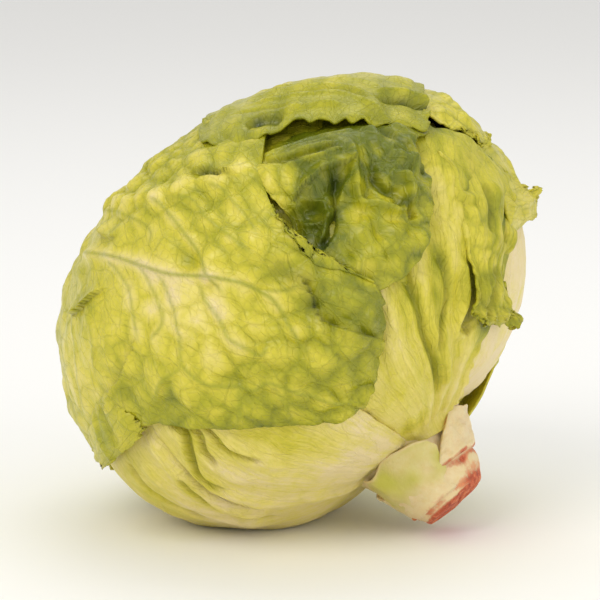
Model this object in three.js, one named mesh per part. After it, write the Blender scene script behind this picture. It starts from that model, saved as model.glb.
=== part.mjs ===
// A head of iceberg lettuce, lying on its side on its outer leaves.
// Lengths are in millimetres and angles in degrees. +Z is up, and the origin is
// the middle of the flat that the head's own weight presses into its lowest leaf.
import * as THREE from 'three';

// How the head lies: the stem points down and to the right, a little forward.
const HEAD_CENTRE = new THREE.Vector3(10, -0.5, 72.5);
const STEM_DIP = 45.9;
const STEM_HEADING = -24.2;
const FRONT = new THREE.Vector3(0, -0.985, 0.174);

// The bare head is a globe, flattened along the stem.
const POLE_RADIUS = 60;
const WAIST_RADIUS = 79.4;
const WAIST_FULLNESS = 1.8;

// The leaves lie on the bare head in four layers, given by the lift of their outer face.
const LEAF_THICKNESS = 1.1;
const OUTER = 4.5;
const OVER = 1.8;
const UNDER = -0.9;
const INNER = -3.6;
const HEART_LIFT = -6.2;
const HEART_DETAIL = 6;

const STEM_RADIUS = 14.6;
const STEM_ROOT = 55.5;
const STEM_NECK = 76;
const STEM_END = 86;
const STEM_SIDES = 24;
const STUB_INNER_RADIUS = 15;
const STUB_START = 63;

const COLOURS = {
  leaf: '#a8a83c',
  paleLeaf: '#cfc68a',
  darkLeaf: '#7f8b30',
  heart: '#d9d39a',
  stem: '#decb96',
};

// Each row of a leaf runs across it, from its base at the stem to its tip. A point is
// [degrees from the stem end, degrees round the head, lift if it isn't the layer's own].
// Round the head, 0 faces forward, 90 is the upper side and -90 the lower one.
const LEAVES = [
  {
    name: 'leaf_front', lift: OUTER, cells: [14, 20], colour: COLOURS.leaf,
    rows: [
      [[18, -150], [18, -158], [18, -166], [18, -174], [18, -182]],
      [[48, -150], [48, -161], [48, -172], [48, -183], [48, -195]],
      [[74, -126], [80, -142], [84, -160], [86, -180], [86, -200]],
      [[89, -92], [103, -108], [114, -130], [124, -160], [129, -198]],
      [[90, -66], [108, -69], [128, -76], [149, -100], [168, 176]],
      [[83, -46], [100, -42], [118, -36], [138, -24], [156, 10]],
      [[71, -33], [87, -25], [103, -16], [119, -5], [133, 12]],
      [[60, -20], [73, -12], [87, -5], [100, 1], [111, 6]],
      [[54, -8], [58, 2], [66, 10], [76, 10], [86, 5]],
    ],
  },
  {
    name: 'leaf_top', lift: OUTER, cells: [10, 28], colour: COLOURS.darkLeaf,
    rows: [
      [[18, 168], [18, 161], [18, 154], [18, 147], [18, 140]],
      [[48, 159], [48, 151], [48, 143], [48, 135], [48, 127]],
      [[86, 154], [88, 144], [90, 134], [88, 123], [84, 112]],
      [[123, 156], [122, 138], [119, 120], [114, 106], [106, 96]],
      [[160, 135], [146, 104], [134, 92], [122, 85], [108, 80]],
      [[153, 34], [140, 47], [128, 57], [115, 63], [104, 68]],
      [[130, 22], [121, 33], [113, 43], [106, 50], [100, 56]],
      [[110, 15], [104, 23], [99, 31], [94, 39], [90, 48]],
      [[97, 15], [91, 20], [86, 26], [83, 33], [82, 42]],
      [[87, 13], [80, 17], [75, 22], [75, 29], [78, 37]],
    ],
  },
  {
    name: 'leaf_right', lift: OVER, cells: [9, 10], colour: COLOURS.paleLeaf,
    rows: [
      [[18, 8], [18, 18], [18, 28], [18, 38], [18, 48]],
      [[36, -6], [36, 8], [36, 22], [36, 34], [36, 46]],
      [[55, -10], [56, 4], [57, 18], [56, 32], [52, 45]],
      [[74, -9], [75, 6], [76, 22], [72, 40], [62, 58]],
      [[92, -2], [93, 12], [92, 28], [86, 46], [74, 65]],
      [[106, 8], [107, 20], [105, 34], [98, 50], [86, 65]],
    ],
  },
  {
    name: 'leaf_back_right', lift: OVER, cells: [9, 10], colour: COLOURS.leaf,
    rows: [
      [[18, 118], [18, 124], [18, 130], [18, 136], [18, 142]],
      [[44, 112], [45, 121], [46, 130], [46, 138], [46, 146]],
      [[66, 92], [70, 104], [74, 116], [76, 130], [76, 146]],
      [[77, 77], [84, 86], [90, 98], [96, 114], [98, 134]],
      [[88, 74], [98, 77], [106, 88], [112, 102], [114, 122]],
    ],
  },
  {
    name: 'leaf_lower_front', lift: OVER, cells: [7, 9], colour: COLOURS.paleLeaf,
    rows: [
      [[18, -50], [18, -38], [18, -26], [18, -14], [18, -3]],
      [[36, -64], [36, -50], [36, -38], [36, -26], [36, -14]],
      [[55, -61], [57, -50], [58, -39], [58, -28], [57, -18]],
      [[72, -53], [75, -44], [77, -36], [77, -27], [76, -17]],
      [[90, -48], [93, -40], [95, -32], [95, -24], [93, -14]],
    ],
  },
  {
    name: 'leaf_far_right', lift: UNDER, cells: [9, 9], colour: COLOURS.paleLeaf,
    rows: [
      [[18, 60], [18, 74], [18, 88], [18, 101], [18, 113]],
      [[34, 50], [34, 71, OVER], [34, 90, OVER], [34, 107], [34, 124]],
      [[50, 42], [50, 66, OVER], [50, 88, OVER], [50, 108], [50, 126]],
      [[66, 46], [67, 68], [68, 88], [67, 107], [66, 125]],
      [[82, 52], [84, 70], [85, 87], [84, 104], [80, 120]],
    ],
  },
  {
    name: 'leaf_lower', lift: UNDER, cells: [12, 11], colour: COLOURS.paleLeaf,
    rows: [
      [[18, -146], [18, -126, OUTER], [18, -106, OUTER], [18, -88, OUTER], [18, -72], [18, -56]],
      [[34, -150], [34, -128, OUTER], [34, -108, OUTER], [34, -88, OUTER], [34, -70], [34, -54]],
      [[50, -152], [50, -130, OUTER], [50, -109, OUTER], [50, -88, OUTER], [50, -69], [50, -52]],
      [[65, -143], [66, -125, OUTER], [66, -106, OUTER], [66, -86, OUTER], [66, -67], [66, -48]],
      [[80, -132], [81, -114], [81, -97, 1.5], [80, -80, 2.5], [80, -62], [79, -44]],
      [[95, -118], [97, -103], [97, -88], [96, -73], [95, -58], [92, -44]],
    ],
  },
  {
    name: 'leaf_back', lift: UNDER, cells: [9, 11], colour: COLOURS.leaf,
    rows: [
      [[18, 148], [18, 160], [18, 172], [18, 184], [18, 196]],
      [[44, 136], [44, 153], [44, 170], [44, 187], [44, 203]],
      [[70, 133], [70, 152], [70, 171], [70, 190], [70, 209]],
      [[96, 128], [98, 150], [99, 172], [98, 194], [96, 216]],
      [[118, 118], [122, 146], [124, 172], [122, 198], [118, 226]],
    ],
  },
  {
    name: 'leaf_inner_front', lift: INNER, cells: [11, 13], colour: COLOURS.darkLeaf,
    rows: [
      [[19, -40], [19, -20], [19, 0], [19, 20], [19, 40]],
      [[45, -56], [45, -28], [45, 0], [45, 28], [45, 56]],
      [[75, -62], [75, -31], [75, 0], [75, 31], [75, 62]],
      [[105, -68], [105, -34], [105, 0], [105, 34], [105, 68]],
      [[134, -80], [142, -45], [146, 0], [142, 45], [134, 80]],
    ],
  },
  {
    name: 'leaf_inner_back', lift: INNER, cells: [11, 13], colour: COLOURS.leaf,
    rows: [
      [[19, 140], [19, 160], [19, 180], [19, 200], [19, 220]],
      [[45, 124], [45, 152], [45, 180], [45, 208], [45, 236]],
      [[75, 118], [75, 149], [75, 180], [75, 211], [75, 242]],
      [[105, 112], [105, 146], [105, 180], [105, 214], [105, 248]],
      [[134, 100], [142, 135], [146, 180], [142, 225], [134, 260]],
    ],
  },
];

// Stubs of outer leaves that were cut away. They stand round the stem like scales.
const STUBS = [
  { name: 'stub_right', around: [60, 115], end: 75, radius: 19.5 },
  { name: 'stub_front', around: [-70, -8], end: 79, radius: 18.5 },
  { name: 'stub_under', around: [-150, -84], end: 78, radius: 19 },
];

const toRadians = THREE.MathUtils.degToRad;
const stemAxis = new THREE.Vector3().setFromSphericalCoords(
  1, toRadians(90 + STEM_DIP), toRadians(90 + STEM_HEADING),
);
stemAxis.set(stemAxis.x, -stemAxis.z, stemAxis.y);
const frontAxis = FRONT.clone().addScaledVector(stemAxis, -FRONT.dot(stemAxis)).normalize();
const upperAxis = new THREE.Vector3().crossVectors(frontAxis, stemAxis);

function direction(fromStem, around) {
  const spread = Math.sin(toRadians(fromStem));
  return new THREE.Vector3()
    .addScaledVector(stemAxis, Math.cos(toRadians(fromStem)))
    .addScaledVector(frontAxis, spread * Math.cos(toRadians(around)))
    .addScaledVector(upperAxis, spread * Math.sin(toRadians(around)));
}

// A point on the head at a lift off the bare head. The floor flattens the leaves in
// their order, so that layers still lie on each other over the rest flat.
function onHead(towards, lift) {
  const along = towards.dot(stemAxis);
  const spread = Math.sqrt(Math.max(0, 1 - along * along));
  const bulge = (WAIST_RADIUS - POLE_RADIUS) * spread ** WAIST_FULLNESS;
  const point = HEAD_CENTRE.clone().addScaledVector(towards, POLE_RADIUS + bulge + lift);
  point.z = Math.max(point.z, OUTER - lift, 0);
  return point;
}

// Splines through the rows, then across them, give a smooth leaf from a few points.
function leafSampler({ rows, lift }) {
  const rowCurves = rows.map((row) => ({
    towards: new THREE.CatmullRomCurve3(row.map(([fromStem, around]) => direction(fromStem, around))),
    lift: new THREE.SplineCurve(row.map((point) => new THREE.Vector2(point[2] ?? lift, 0))),
  }));
  return (across, along) => {
    const towards = new THREE.CatmullRomCurve3(rowCurves.map((row) => row.towards.getPoint(across)));
    const lifts = new THREE.SplineCurve(rowCurves.map((row) => row.lift.getPoint(across)));
    return [towards.getPoint(along).normalize(), lifts.getPoint(along).x];
  };
}

function signedVolume(positions, index) {
  const corner = (k) => new THREE.Vector3().fromArray(positions, 3 * index[k]);
  let volume = 0;
  for (let k = 0; k < index.length; k += 3) {
    volume += corner(k).dot(corner(k + 1).cross(corner(k + 2))) / 6;
  }
  return volume;
}

function closedGeometry(positions, index) {
  const outward = signedVolume(positions, index) > 0 ? index : index.toReversed();
  const geometry = new THREE.BufferGeometry();
  geometry.setAttribute('position', new THREE.Float32BufferAttribute(positions, 3));
  geometry.setIndex(outward);
  geometry.computeVertexNormals();
  return geometry;
}

// A leaf is a closed shell: an outer face, an inner face and the rim that joins them.
function leafGeometry(leaf) {
  const [across, along] = leaf.cells;
  const sample = leafSampler(leaf);
  const positions = [];
  for (let j = 0; j <= along; j += 1) {
    for (let i = 0; i <= across; i += 1) {
      const [towards, lift] = sample(i / across, j / along);
      positions.push(...onHead(towards, lift).toArray());
      positions.push(...onHead(towards, lift - LEAF_THICKNESS).toArray());
    }
  }
  const outer = (i, j) => 2 * (j * (across + 1) + i);
  const inner = (i, j) => outer(i, j) + 1;
  const index = [];
  const quad = (a, b, c, d) => index.push(a, b, c, a, c, d);
  for (let j = 0; j < along; j += 1) {
    for (let i = 0; i < across; i += 1) {
      quad(outer(i, j), outer(i + 1, j), outer(i + 1, j + 1), outer(i, j + 1));
      quad(inner(i, j), inner(i, j + 1), inner(i + 1, j + 1), inner(i + 1, j));
    }
    quad(outer(0, j), outer(0, j + 1), inner(0, j + 1), inner(0, j));
    quad(outer(across, j), inner(across, j), inner(across, j + 1), outer(across, j + 1));
  }
  for (let i = 0; i < across; i += 1) {
    quad(outer(i, 0), inner(i, 0), inner(i + 1, 0), outer(i + 1, 0));
    quad(outer(i, along), outer(i + 1, along), inner(i + 1, along), inner(i, along));
  }
  return closedGeometry(positions, index);
}

// The tightly packed young leaves inside are one solid.
function heartGeometry() {
  const geometry = new THREE.IcosahedronGeometry(1, HEART_DETAIL);
  const position = geometry.getAttribute('position');
  for (let k = 0; k < position.count; k += 1) {
    const towards = new THREE.Vector3().fromBufferAttribute(position, k).normalize();
    position.setXYZ(k, ...onHead(towards, HEART_LIFT).toArray());
  }
  geometry.computeVertexNormals();
  return geometry;
}

// Turns a shape built along +Z from the head's centre onto the stem's axis.
function alongStem(geometry) {
  const turn = new THREE.Matrix4().makeBasis(frontAxis, upperAxis.clone().negate(), stemAxis);
  return geometry.applyMatrix4(turn.setPosition(HEAD_CENTRE));
}

function stemGeometry() {
  const profile = [
    [0, STEM_ROOT],
    [STEM_RADIUS - 2, STEM_ROOT],
    [STEM_RADIUS, STEM_ROOT + 6],
    [STEM_RADIUS, STEM_NECK],
    [STEM_RADIUS - 1, STEM_NECK + 5],
    [STEM_RADIUS - 4, STEM_END - 2],
    [0, STEM_END],
  ].map(([radius, height]) => new THREE.Vector2(radius, height));
  return alongStem(new THREE.LatheGeometry(profile, STEM_SIDES).rotateX(Math.PI / 2));
}

function stubGeometry({ around, end, radius }) {
  const [to, from] = around.map((angle) => toRadians(-angle));
  const sector = new THREE.Shape();
  sector.absarc(0, 0, radius, from, to, false);
  sector.absarc(0, 0, STUB_INNER_RADIUS, to, from, true);
  sector.closePath();
  const options = { depth: end - STUB_START, bevelEnabled: false, curveSegments: 8 };
  return alongStem(new THREE.ExtrudeGeometry(sector, options).translate(0, 0, STUB_START));
}

function piece(name, geometry, colour, roughness) {
  const material = new THREE.MeshStandardMaterial({ color: colour, roughness, metalness: 0 });
  const mesh = new THREE.Mesh(geometry, material);
  mesh.name = name;
  return mesh;
}

const lettuce = new THREE.Group();
for (const leaf of LEAVES) {
  lettuce.add(piece(leaf.name, leafGeometry(leaf), leaf.colour, 0.5));
}
for (const stub of STUBS) {
  lettuce.add(piece(stub.name, stubGeometry(stub), COLOURS.paleLeaf, 0.6));
}
lettuce.add(piece('heart', heartGeometry(), COLOURS.heart, 0.6));
lettuce.add(piece('stem', stemGeometry(), COLOURS.stem, 0.7));

export default lettuce;
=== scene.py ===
import itertools
import math

import bmesh
import bpy
import numpy as np
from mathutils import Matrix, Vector


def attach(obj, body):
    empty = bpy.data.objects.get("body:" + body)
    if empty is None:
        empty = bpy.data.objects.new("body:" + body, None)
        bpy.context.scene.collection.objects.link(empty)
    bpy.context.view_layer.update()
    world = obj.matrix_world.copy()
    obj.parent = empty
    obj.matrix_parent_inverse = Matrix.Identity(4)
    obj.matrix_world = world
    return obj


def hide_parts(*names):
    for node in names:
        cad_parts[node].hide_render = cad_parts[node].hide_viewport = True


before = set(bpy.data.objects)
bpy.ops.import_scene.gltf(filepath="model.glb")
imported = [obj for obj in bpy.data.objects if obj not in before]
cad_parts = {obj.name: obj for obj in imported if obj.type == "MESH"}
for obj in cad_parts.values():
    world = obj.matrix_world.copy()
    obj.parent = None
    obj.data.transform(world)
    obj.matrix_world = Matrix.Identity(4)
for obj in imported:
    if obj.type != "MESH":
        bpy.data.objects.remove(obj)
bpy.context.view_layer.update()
mm = 0.001

# The head is a globe flattened along the stem. Every place on it is given by the degrees
# from the stem end, the degrees round the head (0 in front, 90 on the upper side) and
# the lift off the bare head in millimetres.
head = {
    "centre": (10.0, -0.5, 72.5),
    "stemDip": 45.9,
    "stemHeading": -24.2,
    "front": (0.0, -0.985, 0.174),
    "poleRadius": 60.0,
    "waistRadius": 79.4,
    "fullness": 1.8,
    "restLift": 4.5,      # the lift that the floor presses flat
    "restSoftness": 0.4,
    "neckFrom": 22.0,     # leaf bases climb the stem from here
    "neckRise": 0.2,
    "meanRadius": 80.0,
}


def unit(vectors):
    return vectors / np.linalg.norm(vectors, axis=-1, keepdims=True)


dip, heading = math.radians(head["stemDip"]), math.radians(head["stemHeading"])
stemAxis = np.array([math.cos(dip) * math.cos(heading), math.cos(dip) * math.sin(heading), -math.sin(dip)])
frontAxis = np.array(head["front"])
frontAxis = unit(frontAxis - (frontAxis @ stemAxis) * stemAxis)
upperAxis = np.cross(frontAxis, stemAxis)


def direction(fromStem, around):
    fromStem, around = np.radians(fromStem), np.radians(around)
    spread = np.sin(fromStem)
    return (np.cos(fromStem)[..., None] * stemAxis
            + (spread * np.cos(around))[..., None] * frontAxis
            + (spread * np.sin(around))[..., None] * upperAxis)


def onHead(towards, lift):
    along = np.clip(towards @ stemAxis, -1, 1)
    bulge = (head["waistRadius"] - head["poleRadius"]) * (1 - along ** 2) ** (head["fullness"] / 2)
    climb = np.clip(head["neckFrom"] - np.degrees(np.arccos(along)), 0, None) ** 2 * head["neckRise"]
    points = np.array(head["centre"]) + towards * (head["poleRadius"] + bulge + climb + lift)[..., None]
    floor = np.maximum(head["restLift"] - lift, 0)
    soft = head["restSoftness"]
    points[..., 2] = floor + soft * np.logaddexp(0, (points[..., 2] - floor) / soft)
    return points


# Catmull-Rom splines through a net of given points, first across and then along.
def splineWeights(t, count):
    place = np.clip(t, 0, 1) * (count - 1)
    index = np.minimum(place.astype(int), count - 2)
    f = place - index
    weights = (-f + 2 * f ** 2 - f ** 3, 2 - 5 * f ** 2 + 3 * f ** 3,
               f + 4 * f ** 2 - 3 * f ** 3, f ** 3 - f ** 2)
    return index, [w / 2 for w in weights]


def padEnds(net):
    return np.concatenate([2 * net[:1] - net[1:2], net, 2 * net[-1:] - net[-2:-1]])


def sampleNet(net, across, along):
    iAlong, wAlong = splineWeights(along, net.shape[0])
    iAcross, wAcross = splineWeights(across, net.shape[1])
    padded = padEnds(net)
    padded = np.swapaxes(padEnds(np.swapaxes(padded, 0, 1)), 0, 1)
    return sum((wAlong[i] * wAcross[j])[:, None] * padded[iAlong + i, iAcross + j]
               for i, j in itertools.product(range(4), repeat=2))


def smoothPath(places, steps=6):
    points = direction(*np.array(places, float).T)[:, None, :]
    along = np.linspace(0, 1, (len(places) - 1) * steps + 1)
    index, weights = splineWeights(along, len(places))
    padded = padEnds(points)[:, 0]
    return unit(sum(weights[i][:, None] * padded[index + i] for i in range(4)))


# Seeded noise, in the units of the points it gets.
def scatter(cells, seed):
    mixed = seed * 1274126177
    for axis, prime in zip(range(cells.shape[-1]), (374761393, 668265263, 2147483647)):
        mixed = mixed + cells[..., axis] * prime
    mixed = ((mixed ^ (mixed >> 13)) * 1103515245) & 0xffffffff
    return ((mixed ^ (mixed >> 16)) & 0xffff) / 65535.0


def softNoise(points, size, seed):
    place = points / size
    cell = np.floor(place).astype(np.int64)
    f = place - cell
    f = f * f * (3 - 2 * f)
    total = 0
    for corner in itertools.product((0, 1), repeat=points.shape[-1]):
        share = np.prod(np.where(np.array(corner) == 1, f, 1 - f), axis=-1)
        total = total + share * scatter(cell + np.array(corner), seed)
    return 2 * total - 1


def cellEdge(points, seed):
    # how far a point is inside its own cell of a scattered net: 0 on the net's lines
    cell = np.floor(points).astype(np.int64)
    near, second = np.full(len(points), 9.0), np.full(len(points), 9.0)
    for step in itertools.product((-1, 0, 1), repeat=2):
        other = cell + np.array(step)
        centre = other + 0.15 + 0.7 * np.stack([scatter(other, seed), scatter(other, seed + 7)], axis=-1)
        gap = np.linalg.norm(points - centre, axis=-1)
        second = np.minimum(second, np.maximum(near, gap))
        near = np.minimum(near, gap)
    return second - near


# Distance in millimetres from each point to a path, the side of it, and the place along it.
def toPath(towards, path):
    points = towards * head["meanRadius"]
    corners = path * head["meanRadius"]
    best = np.full(len(points), 1e9)
    side, place = np.zeros(len(points)), np.zeros(len(points))
    for k in range(len(corners) - 1):
        start, run = corners[k], corners[k + 1] - corners[k]
        t = np.clip((points - start) @ run / (run @ run), 0, 1)
        gap = np.linalg.norm(points - start - t[:, None] * run, axis=1)
        closer = gap < best
        best = np.where(closer, gap, best)
        place = np.where(closer, (k + t) / (len(corners) - 1), place)
        side = np.where(closer, np.sign(points @ np.cross(corners[k], corners[k + 1])), side)
    return best, side, place


# A flat chart of the globe, in millimetres from a focus, that keeps sizes true near it.
def chart(towards, focus):
    middle = direction(*np.array(focus, float))
    first = unit(np.cross(stemAxis, middle))
    second = np.cross(middle, first)
    angle = np.arccos(np.clip(towards @ middle, -1, 1))
    reach = head["meanRadius"] * angle / np.maximum(np.sin(angle), 0.05)
    return np.stack([reach * (towards @ first), reach * (towards @ second)], axis=-1)


def fade(value, low, high):
    t = np.clip((value - low) / (high - low), 0, 1)
    return t * t * (3 - 2 * t)


# A mark is (kind, height, width, places): ridge, crease and vein are lines, fold is a
# step that dies away on its left side, and swell is a soft round rise on each place.
# A crease also darkens its groove, and a fold the foot of its step, with painted shade;
# shade puts painted shade on each place, tint shifts the green there, and the rib-and-crease
# line paints paler ribs and, as painted shade, darker creases.
def applyMarks(marks, towards, lift, paint):
    for kind, height, width, *places in marks:
        if kind in ("swell", "tint", "shade"):
            for centre in direction(*np.array(places, float).T):
                gap = np.linalg.norm(towards - centre, axis=1) * head["meanRadius"]
                amount = height * np.exp(-(gap / width) ** 2)
                if kind == "swell":
                    lift += amount
                else:
                    paint[:, {"tint": 0, "shade": 2}[kind]] += amount
            continue
        gap, side, place = toPath(towards, smoothPath(places))
        taper = fade(place, -0.02, 0.15) * fade(1 - place, -0.02, 0.15)
        near = np.exp(-(gap / width) ** 2) * taper
        if kind == "ridge":
            lift += height * near
        elif kind == "crease":
            lift -= height * near
            # painted shade darkening the crease's groove
            paint[:, 2] += 0.12 * height * near
        elif kind == "vein":
            lift += height * np.exp(-(gap / width) ** 2) * taper
            paint[:, 1] = np.maximum(paint[:, 1], taper * np.exp(-(gap / 0.75) ** 2) * min(width / 1.6, 1))
            paint[:, 0] -= 0.10 * np.exp(-(gap / (1.6 * width)) ** 2) * taper
        elif kind == "streak":
            # below zero a paler rib line; above zero painted shade darkening a crease
            paint[:, 0] += height * near
        elif kind == "fold":
            lift += height * taper * np.where(side > 0, np.exp(-gap / width), 0)
            # painted shadow along the foot of the fold's step
            paint[:, 2] += 0.25 * taper * np.where(side > 0, 0, np.exp(-gap / 1.2))


def patchMesh(name, patch, seed):
    across, along = patch["cells"]
    mesh = bpy.data.meshes.new(name)
    bm = bmesh.new()
    bmesh.ops.create_grid(bm, x_segments=across, y_segments=along, size=0.5)
    bm.to_mesh(mesh)
    bm.free()
    flat = np.empty(len(mesh.vertices) * 3, np.float32)
    mesh.vertices.foreach_get("co", flat)
    u, v = flat.reshape(-1, 3)[:, 0].astype(float) + 0.5, flat.reshape(-1, 3)[:, 1].astype(float) + 0.5
    bend, share = patch.get("backPart", (0.5, 0.5))
    v = np.where(v < share, v / share * bend, bend + (v - share) / (1 - share) * (1 - bend))
    rows = [[(*point, patch["lift"])[:3] if len(point) == 2 else point for point in row]
            for row in patch["rows"]]
    net = np.array(rows, float)
    towardsNet = direction(net[..., 0], net[..., 1])
    net = np.concatenate([towardsNet, net[..., 2:3]], axis=-1)
    ragged, wave = patch.get("ragged", 0.03), patch.get("wave", 0.8)
    edgePlace = np.stack([u * 9 + 40 * seed, v * 9], axis=-1)
    pull = ragged * (0.6 * softNoise(edgePlace, 1.0, seed)
                     + 0.4 * softNoise(edgePlace, 0.3, seed + 1) + 1) / 2 * fade(v, 0.2, 0.6)
    # pull the side and tip margins in by an uneven amount, but not the base
    uEven = 0.5 + (u - 0.5) * (1 - 2 * pull * fade(np.abs(u - 0.5), 0.3, 0.5))
    vEven = v * (1 - pull * fade(v, 0.8, 1.0))
    corner = patch.get("round", 0.25)
    square = np.clip((np.abs(2 * uEven - 1) - 1 + corner) / corner, 0, 1)
    vEven = vEven - corner * 0.5 * square ** 2 * fade(vEven, 0.75, 1.0)
    sample = sampleNet(net, uEven, vEven)
    towards, lift = unit(sample[:, :3]), sample[:, 3].copy()
    width = patch.get("size", (120, 160))
    flow = np.stack([u * width[0], v * width[1], np.full(len(u), 10.0 * seed)], axis=-1)
    if "focus" in patch:
        flow[:, :2] = chart(towards, patch["focus"])
    globe = towards * head["meanRadius"]
    paint = np.zeros((len(u), 3))
    margin = np.minimum(np.minimum(u, 1 - u) * width[0], (1 - v) * width[1])
    paint[:, 0] = patch.get("green", 0.5) + patch.get("tipGreen", 0) * fade(
        v, *patch.get("greenFrom", (0.3, 0.9)))
    paint[:, 0] += patch.get("marginGreen", 0.1) * np.exp(-margin / 9) * fade(v, 0.35, 0.7)
    # broad unevenness, blisters between the veins, and a frilled margin
    uneven = patch.get("uneven", 1.0)
    lift += uneven * softNoise(globe, 30, seed) + 0.4 * uneven * softNoise(globe, 13, seed + 3)
    lift += patch.get("lumps", 0.8) * np.clip(softNoise(globe, 8, seed + 40), 0, 1)
    cellSize = np.array(patch.get("blisterSize", (9, 14)))
    warped = flow[:, :2] + 3.0 * np.stack([softNoise(globe, 14, seed + 5),
                                           softNoise(globe, 14, seed + 6)], axis=-1)
    edge = cellEdge(warped / cellSize, seed)
    blister = patch.get("blister", 0.8) * fade(v, *patch.get("blisterFrom", (0.15, 0.4)))
    blister = blister * np.clip(0.65 + 1.1 * softNoise(globe, 24, seed + 41), 0.15, 1.4)
    lift += blister * (1 - (1 - np.clip(edge / 0.7, 0, 1)) ** 2) * (
        0.75 + 0.5 * softNoise(globe, 18, seed + 9))
    small = cellEdge(warped / cellSize * 2.3 + 0.4, seed + 20)
    lift += 0.35 * blister * (1 - (1 - np.clip(small / 0.7, 0, 1)) ** 2)
    # painted highlight on the blister tops and painted shade in the hollows between them
    paint[:, 0] -= patch.get("blisterLightAndShade", 0.18) * (np.clip(edge / 0.7, 0, 1) - 0.5) * fade(blister, 0.0, 0.5)
    veined = patch.get("netVeins", 0.5) * fade(v, *patch.get("blisterFrom", (0.15, 0.4)))
    paint[:, 1] = veined * np.maximum(np.exp(-(edge / 0.07) ** 2), 0.5 * np.exp(-(small / 0.09) ** 2))
    crumple = patch.get("crumple", 0)
    if crumple:
        folded = 1 - np.abs(softNoise(globe, 13, seed + 30)) * 2
        lift += crumple * (folded + 0.5 * (1 - np.abs(softNoise(globe, 6, seed + 31)) * 2))
    frill = wave * np.exp(-margin / 7) * np.sin(softNoise(globe, 9, seed + 12) * 6)
    lift += frill
    ribs = patch.get("ribs", 0)
    if ribs:
        rise = np.sin(u * patch["ribCount"] * 2 * math.pi + 6 * softNoise(globe, 45, seed + 14))
        strength = fade(v, 0.0, 0.25) * (1 - 0.5 * fade(v, 0.6, 1.0)) * np.clip(
            0.5 + 1.2 * softNoise(globe, 28, seed + 15), 0, 1.3)
        lift += ribs * strength * rise
        paint[:, 0] -= 0.09 * rise * strength
    applyMarks(patch.get("marks", ()), towards, lift, paint)
    points = onHead(towards, lift) * mm
    mesh.vertices.foreach_set("co", points.astype(np.float32).ravel())
    for label, values in (("paint", paint), ("flow", flow)):
        layer = mesh.attributes.new(label, "FLOAT_VECTOR", "POINT")
        layer.data.foreach_set("vector", values.astype(np.float32).ravel())
    return mesh


def faceAway(mesh, centre):
    # the grid faces one way all over, so one test turns the whole sheet
    normals = np.empty(len(mesh.polygons) * 3, np.float32)
    middles = np.empty(len(mesh.polygons) * 3, np.float32)
    mesh.polygons.foreach_get("normal", normals)
    mesh.polygons.foreach_get("center", middles)
    outward = (normals.reshape(-1, 3) * (middles.reshape(-1, 3) - centre)).sum()
    if outward < 0:
        mesh.flip_normals()


def leafPiece(name, patches, finish, thickness=0.8, replaced=None, seed=1):
    bm = bmesh.new()
    centre = np.array(head["centre"]) * mm
    for k, patch in enumerate(patches):
        mesh = patchMesh(name + "Patch", patch, seed + 11 * k)
        faceAway(mesh, centre)
        bm.from_mesh(mesh)
        bpy.data.meshes.remove(mesh)
    mesh = bpy.data.meshes.new(name)
    bm.to_mesh(mesh)
    bm.free()
    mesh.polygons.foreach_set("use_smooth", [True] * len(mesh.polygons))
    piece = bpy.data.objects.new(name, mesh)
    bpy.context.scene.collection.objects.link(piece)
    shell = piece.modifiers.new("thickness", "SOLIDIFY")
    shell.thickness = thickness * mm
    shell.offset = -1
    mesh.materials.append(finish)
    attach(piece, "root")
    if replaced:
        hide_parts(replaced)
    print("leaf:", name, len(mesh.polygons))
    return piece


# Shader maths as Python expressions.
class Wire:
    def __init__(self, shader, socket):
        self.shader, self.socket = shader, socket

    def maths(self, operation, *values):
        return self.shader.node("ShaderNodeMath", {"operation": operation}, *values)

    def __add__(self, other):
        return self.maths("ADD", self, other)

    __radd__ = __add__

    def __sub__(self, other):
        return self.maths("SUBTRACT", self, other)

    def __rsub__(self, other):
        return self.maths("SUBTRACT", other, self)

    def __mul__(self, other):
        return self.maths("MULTIPLY", self, other)

    __rmul__ = __mul__

    def clamped(self):
        return self.maths("MINIMUM", self.maths("MAXIMUM", self, 0.0), 1.0)

    def between(self, low, high):
        settings = {"interpolation_type": "SMOOTHSTEP"}
        return self.shader.node("ShaderNodeMapRange", settings, self, low, high, 0.0, 1.0)


class Shader:
    def __init__(self, name):
        self.material = bpy.data.materials.new(name)
        self.material.use_nodes = True
        self.nodes, self.links = self.material.node_tree.nodes, self.material.node_tree.links
        self.surface = self.nodes["Principled BSDF"]

    def node(self, kind, settings, *values, out=0, **named):
        node = self.nodes.new(kind)
        for key, value in settings.items():
            if key == "stops":
                self.setStops(node.color_ramp, value)
            else:
                setattr(node, key, value)
        for place, value in [*enumerate(values), *named.items()]:
            if isinstance(place, str):
                place = place.replace("_", " ")
            self.join(node.inputs[place], value)
        return Wire(self, node.outputs[out])

    def setStops(self, ramp, stops):
        while len(ramp.elements) < len(stops):
            ramp.elements.new(0.5)
        for element, (place, colour) in zip(ramp.elements, stops):
            element.position, element.color = place, (*colour, 1)

    def join(self, socket, value):
        if isinstance(value, Wire):
            self.links.new(value.socket, socket)
        elif value is not None:
            socket.default_value = value

    def mix(self, amount, first, second, blend="MIX"):
        node = self.nodes.new("ShaderNodeMix")
        node.data_type, node.blend_type = "RGBA", blend
        for place, value in ((0, amount), (6, first), (7, second)):
            if isinstance(value, tuple):
                value = (*value, 1)
            self.join(node.inputs[place], value)
        return Wire(self, node.outputs[2])

    def set(self, **values):
        for place, value in values.items():
            self.join(self.surface.inputs[place.replace("_", " ")], value)


# Linear colours: the palest rib to the deepest green, veins, brown specks and painted shade.
leafColours = {
    "pale": [(0.0, (0.84, 0.68, 0.36)), (0.22, (0.78, 0.66, 0.16)), (0.45, (0.64, 0.56, 0.045)),
             (0.7, (0.40, 0.385, 0.010)), (1.0, (0.13, 0.16, 0.004))],
    "vein": (0.27, 0.29, 0.012),
    "brown": (0.30, 0.10, 0.02),
    "paintedShadeGreen": (0.05, 0.075, 0.004),
}


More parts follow.
